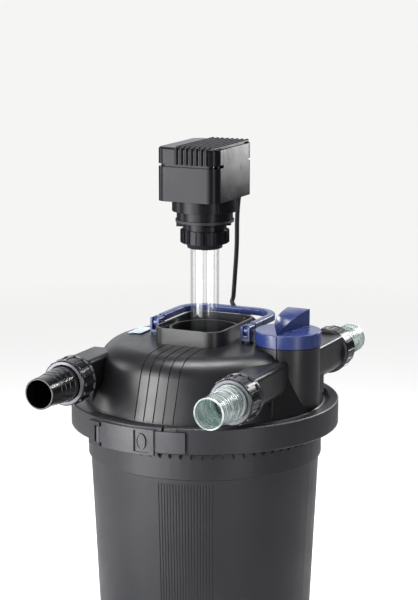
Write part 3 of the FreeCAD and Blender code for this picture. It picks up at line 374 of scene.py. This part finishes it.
def new_piece(name, mesh, look):
    obj = bpy.data.objects.new(name, mesh)
    bpy.context.scene.collection.objects.link(obj)
    for polygon in mesh.polygons:
        polygon.use_smooth = True
    dress(obj, look)
    return obj


def mesh_from(obj):
    """The object's mesh with its modifiers or curve bevel applied."""
    graph = bpy.context.evaluated_depsgraph_get()
    return bpy.data.meshes.new_from_object(obj.evaluated_get(graph))


def swept_tube(points, radius, resolution):
    """A round tube along a smooth path. The path is in millimetres, the radius in metres."""
    curve = bpy.data.curves.new("path", "CURVE")
    curve.dimensions = "3D"
    curve.bevel_depth = radius
    curve.bevel_resolution = 5
    curve.use_fill_caps = True
    curve.resolution_u = resolution
    spline = curve.splines.new("BEZIER")
    spline.bezier_points.add(len(points) - 1)
    for point, place in zip(spline.bezier_points, points):
        point.co = Vector(place) * MM
        point.handle_left_type = "AUTO"
        point.handle_right_type = "AUTO"
    obj = bpy.data.objects.new("path", curve)
    bpy.context.scene.collection.objects.link(obj)
    bpy.context.view_layer.update()
    mesh = mesh_from(obj)
    bpy.data.objects.remove(obj)
    return mesh


CORD_POINTS = [
    (20, 78.5, 736.5), (13.5, 82.5, 702), (1, 106, 635), (-10, 124, 588), (-15, 131, 561),
    (-25, 152, 541), (2, 190, 502), (8, 205, 440), (11, 206, 330), (11, 204, 210),
    (10, 203, 100), (6, 203, 38), (-10, 207, 12), (-36, 215, 4.6), (-66, 223, 5.6),
    (-97, 227.8, 10.5),
]
cord = new_piece("cord_flex", swept_tube(CORD_POINTS, CORD_RADIUS, 14), "cord")
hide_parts("power_cord")
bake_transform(cord)


def foam_piece(index):
    """A foam ring: its skin is pitted and its corners are soft."""
    node = nodes["foam_ring_" + str(index)]
    mesh = node.data.copy()
    obj = bpy.data.objects.new("foam_soft_" + str(index), mesh)
    bpy.context.scene.collection.objects.link(obj)
    remesh = obj.modifiers.new("skin", "REMESH")
    remesh.mode = "VOXEL"
    remesh.voxel_size = FOAM_VOXEL
    relax = obj.modifiers.new("relax", "SMOOTH")
    relax.iterations = 3
    texture = bpy.data.textures.new("pits", "CLOUDS")
    texture.noise_scale = 0.009
    texture.noise_depth = 3
    pits = obj.modifiers.new("pits", "DISPLACE")
    pits.texture = texture
    pits.texture_coords = "LOCAL"
    pits.mid_level = 0.75
    pits.strength = 2.2 * MM
    bpy.context.view_layer.update()
    final = mesh_from(obj)
    bpy.data.objects.remove(obj)
    piece = new_piece("foam_soft_" + str(index), final, "foam")
    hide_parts(node.name)
    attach(piece, "root")
    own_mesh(piece)


for index in range(1, 5):
    foam_piece(index)


# ---- Stage ------------------------------------------------------------------------------

def floor_material():
    """White studio floor that fades to the white of the backdrop a few metres out."""
    g = Graph("stage_white")
    place = g.add("ShaderNodeNewGeometry").outputs["Position"]
    reach = g.add("ShaderNodeVectorMath", {0: place}, operation="LENGTH").outputs["Value"]
    tone = g.blend(g.ramp(g.noise(1.6, 3.0), 0.3, 0.7), (0.86, 0.86, 0.86), (0.90, 0.90, 0.90))
    paint = g.add("ShaderNodeBsdfDiffuse", {"Color": tone}).outputs[0]
    dim = g.add("ShaderNodeBsdfDiffuse", {"Color": (0.56, 0.56, 0.57)}).outputs[0]
    near = g.add("ShaderNodeEmission", {"Color": (1, 1, 1), "Strength": 0.42}).outputs[0]
    lit = g.add("ShaderNodeAddShader", {0: paint, 1: near}).outputs[0]
    far = g.add("ShaderNodeEmission", {"Color": (1.0, 1.0, 0.99), "Strength": 0.915}).outputs[0]
    share = g.ramp(reach, FLOOR_NEAR, FLOOR_FAR)
    shown = g.add("ShaderNodeMixShader", {0: share, 1: lit, 2: far}).outputs[0]
    camera_ray = g.add("ShaderNodeLightPath").outputs["Is Camera Ray"]
    return g.finish(g.add("ShaderNodeMixShader", {0: camera_ray, 1: dim, 2: shown}).outputs[0])


def backdrop():
    mesh = bpy.data.meshes.new("backdrop")
    bm = bmesh.new()
    bmesh.ops.create_circle(bm, cap_ends=True, segments=96, radius=FLOOR_RADIUS)
    bm.to_mesh(mesh)
    bm.free()
    obj = bpy.data.objects.new("floor", mesh)
    bpy.context.scene.collection.objects.link(obj)
    mesh.materials.append(floor_material())


def studio_world():
    """White to the camera; the object sees a dim room with a pale wall behind it."""
    world = bpy.data.worlds.new("studio")
    world.use_nodes = True
    tree = world.node_tree
    tree.nodes.clear()

    def add(kind, **settings):
        node = tree.nodes.new(kind)
        for key, value in settings.items():
            setattr(node, key, value)
        return node

    direction = add("ShaderNodeTexCoord").outputs["Generated"]
    dot = add("ShaderNodeVectorMath", operation="DOT_PRODUCT")
    tree.links.new(direction, dot.inputs[0])
    dot.inputs[1].default_value = BACK_WALL
    wall = add("ShaderNodeMapRange", interpolation_type="SMOOTHSTEP")
    tree.links.new(dot.outputs["Value"], wall.inputs["Value"])
    for key, value in WALL_FADE:
        wall.inputs[key].default_value = value
    room = add("ShaderNodeBackground")
    room.inputs[0].default_value = (0.95, 0.97, 1.0, 1.0)
    tree.links.new(wall.outputs[0], room.inputs[1])
    white = add("ShaderNodeBackground")
    white.inputs[0].default_value = (1.0, 1.0, 0.99, 1.0)
    white.inputs[1].default_value = 0.905
    mix = add("ShaderNodeMixShader")
    tree.links.new(add("ShaderNodeLightPath").outputs["Is Camera Ray"], mix.inputs[0])
    tree.links.new(room.outputs[0], mix.inputs[1])
    tree.links.new(white.outputs[0], mix.inputs[2])
    tree.links.new(mix.outputs[0], add("ShaderNodeOutputWorld").inputs[0])
    bpy.context.scene.world = world


def softbox(name, place, aim, width, height, power):
    """Area light that fades toward its edges, as a diffusion panel does."""
    lamp = bpy.data.lights.new(name, "AREA")
    lamp.shape = "RECTANGLE"
    lamp.size = width
    lamp.size_y = height
    lamp.energy = power
    lamp.use_nodes = True
    tree = lamp.node_tree
    emission = tree.nodes["Emission"]
    parametric = tree.nodes.new("ShaderNodeNewGeometry").outputs["Parametric"]
    centred = tree.nodes.new("ShaderNodeVectorMath")
    centred.operation = "SUBTRACT"
    centred.inputs[1].default_value = (0.5, 0.5, 0.0)
    tree.links.new(parametric, centred.inputs[0])
    reach = tree.nodes.new("ShaderNodeVectorMath")
    reach.operation = "LENGTH"
    tree.links.new(centred.outputs[0], reach.inputs[0])
    fade = tree.nodes.new("ShaderNodeMapRange")
    fade.interpolation_type = "SMOOTHSTEP"
    for key, value in PANEL_FADE:
        fade.inputs[key].default_value = value
    tree.links.new(reach.outputs["Value"], fade.inputs["Value"])
    tree.links.new(fade.outputs[0], emission.inputs["Strength"])
    obj = bpy.data.objects.new(name, lamp)
    bpy.context.scene.collection.objects.link(obj)
    obj.location = place
    obj.rotation_mode = "QUATERNION"
    obj.rotation_quaternion = (Vector(aim) - Vector(place)).to_track_quat("-Z", "Y")


backdrop()
studio_world()
softbox("key_front_left", (-1.15, -1.75, 0.65), FILTER_CENTRE, 1.7, 2.3, 106)
softbox("front", (-0.20, -2.00, 0.55), FILTER_CENTRE, 0.9, 1.6, 17)
softbox("side_left", (-2.00, -0.35, 0.90), FILTER_CENTRE, 0.8, 1.8, 16)
softbox("fill_right", (1.80, -1.20, 0.60), FILTER_CENTRE, 0.8, 1.6, 13)
softbox("top", (-0.1, 0.1, 2.5), FILTER_CENTRE, 1.7, 0.9, 60)
softbox("top_right", (1.0, 0.85, 2.2), FILTER_CENTRE, 1.1, 1.1, 24)
softbox("head_side", (0.36, 0.78, 0.80), HEAD_CENTRE, 0.30, 0.34, 3.4)

bpy.context.scene.view_settings.view_transform = "Standard"

camera_data = bpy.data.cameras.new("camera")
camera = bpy.data.objects.new("camera", camera_data)
bpy.context.scene.collection.objects.link(camera)
camera_data.sensor_width = 36.0
camera_data.lens = CAMERA_LENS
camera_data.clip_start = 0.05
camera_data.clip_end = 60.0
camera.location = CAMERA_PLACE
camera.rotation_mode = "QUATERNION"
camera.rotation_quaternion = CAMERA_AIM.to_track_quat("-Z", "Y")
bpy.context.scene.camera = camera
